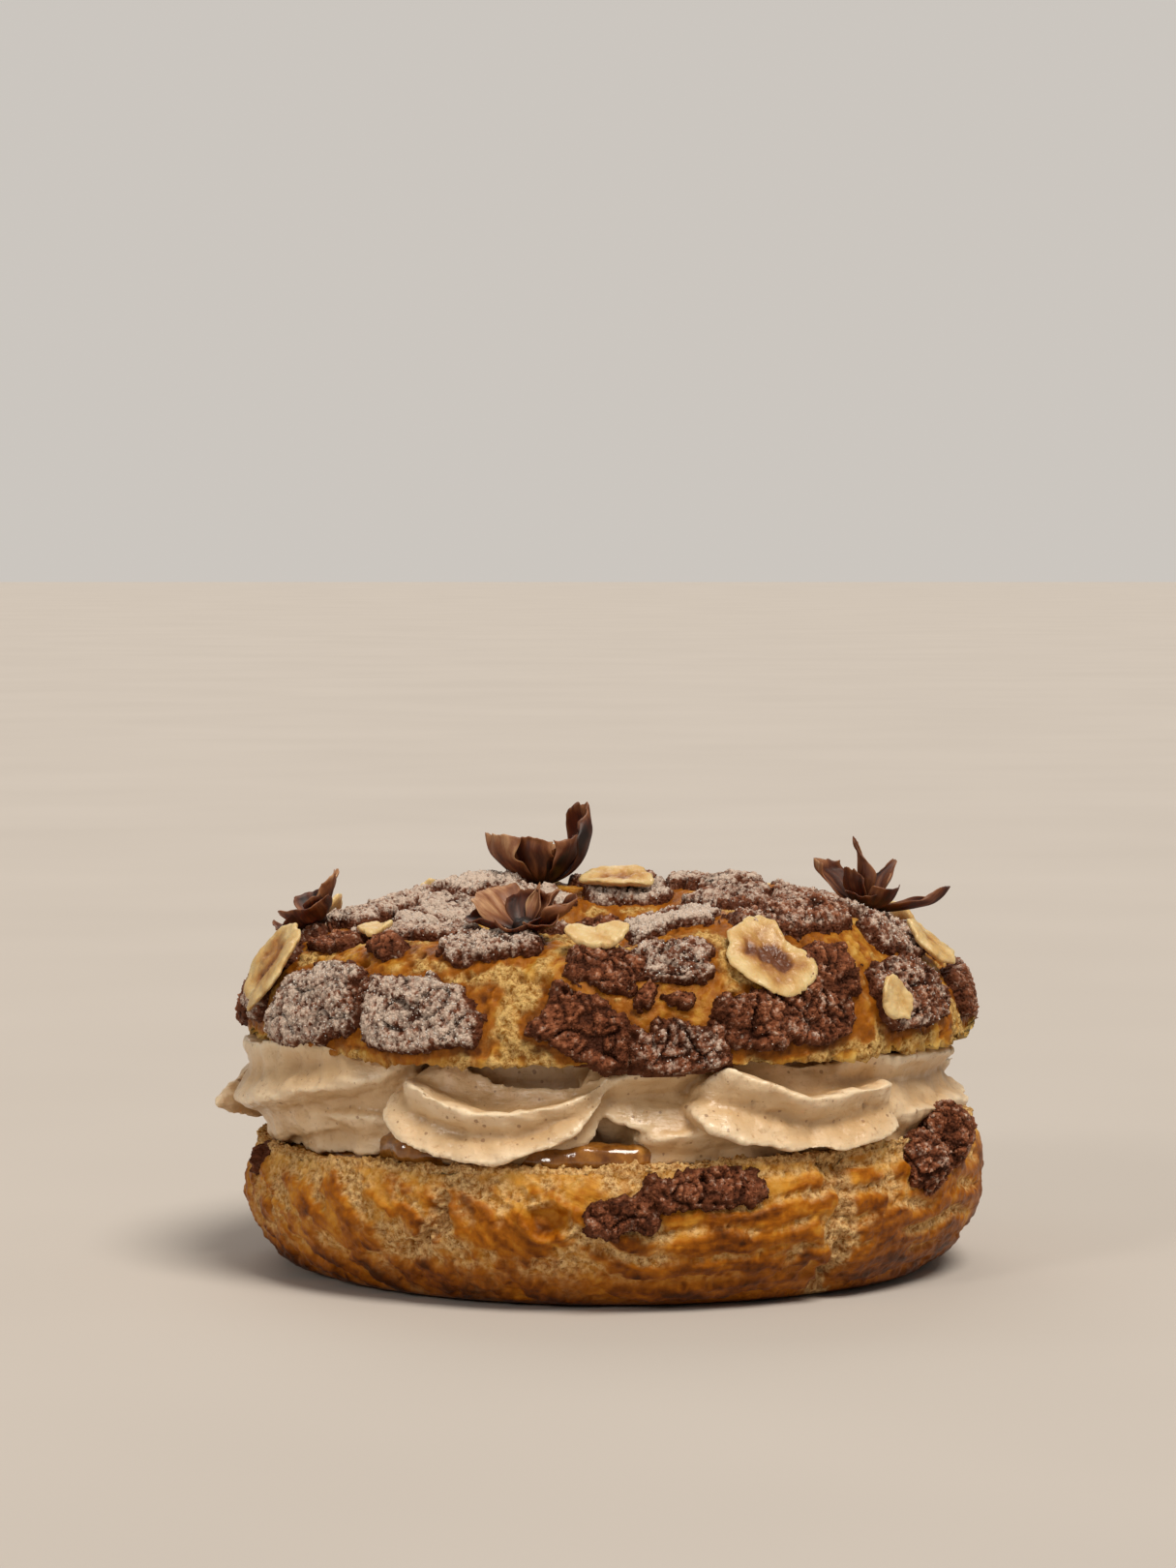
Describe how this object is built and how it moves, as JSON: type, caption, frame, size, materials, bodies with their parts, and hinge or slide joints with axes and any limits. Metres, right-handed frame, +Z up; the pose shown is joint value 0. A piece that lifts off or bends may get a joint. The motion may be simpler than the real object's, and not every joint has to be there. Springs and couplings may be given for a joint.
{
  "type": "filled choux ring",
  "caption": "Choux pastry ring split across, filled with piped cream shells over a praline bead, its domed lid under cracked cocoa crust and topped with hazelnut slices and dried blooms",
  "frame": {"origin": "on the surface it stands on, below the middle of the ring", "axes": "+Z up along the ring's axis, -Y towards the side seen in the picture, +X to the right of it"},
  "size_m": [0.094, 0.0941, 0.0563],
  "materials": {
    "choux": "egg-washed, golden brown",
    "praline": "glossy",
    "cream": "satin, fine dark specks",
    "crust": "dry and crumbly, part dusted with sugar",
    "hazelnut": "satin",
    "petal": "dry and papery"
  },
  "bodies": {
    "root": {"base": "choux", "praline": "praline", "cream": "cream", "lid": "crust", "nut_1": "hazelnut", "nut_2": "hazelnut", "nut_3": "hazelnut", "nut_4": "hazelnut", "nut_5": "hazelnut", "nut_6": "hazelnut", "nut_7": "hazelnut", "nut_8": "hazelnut", "nut_9": "hazelnut", "nut_10": "hazelnut", "nut_11": "hazelnut", "bloom_front": "petal", "bloom_left": "petal", "bloom_back": "petal", "bloom_right": "petal"}
  },
  "joints": []
}
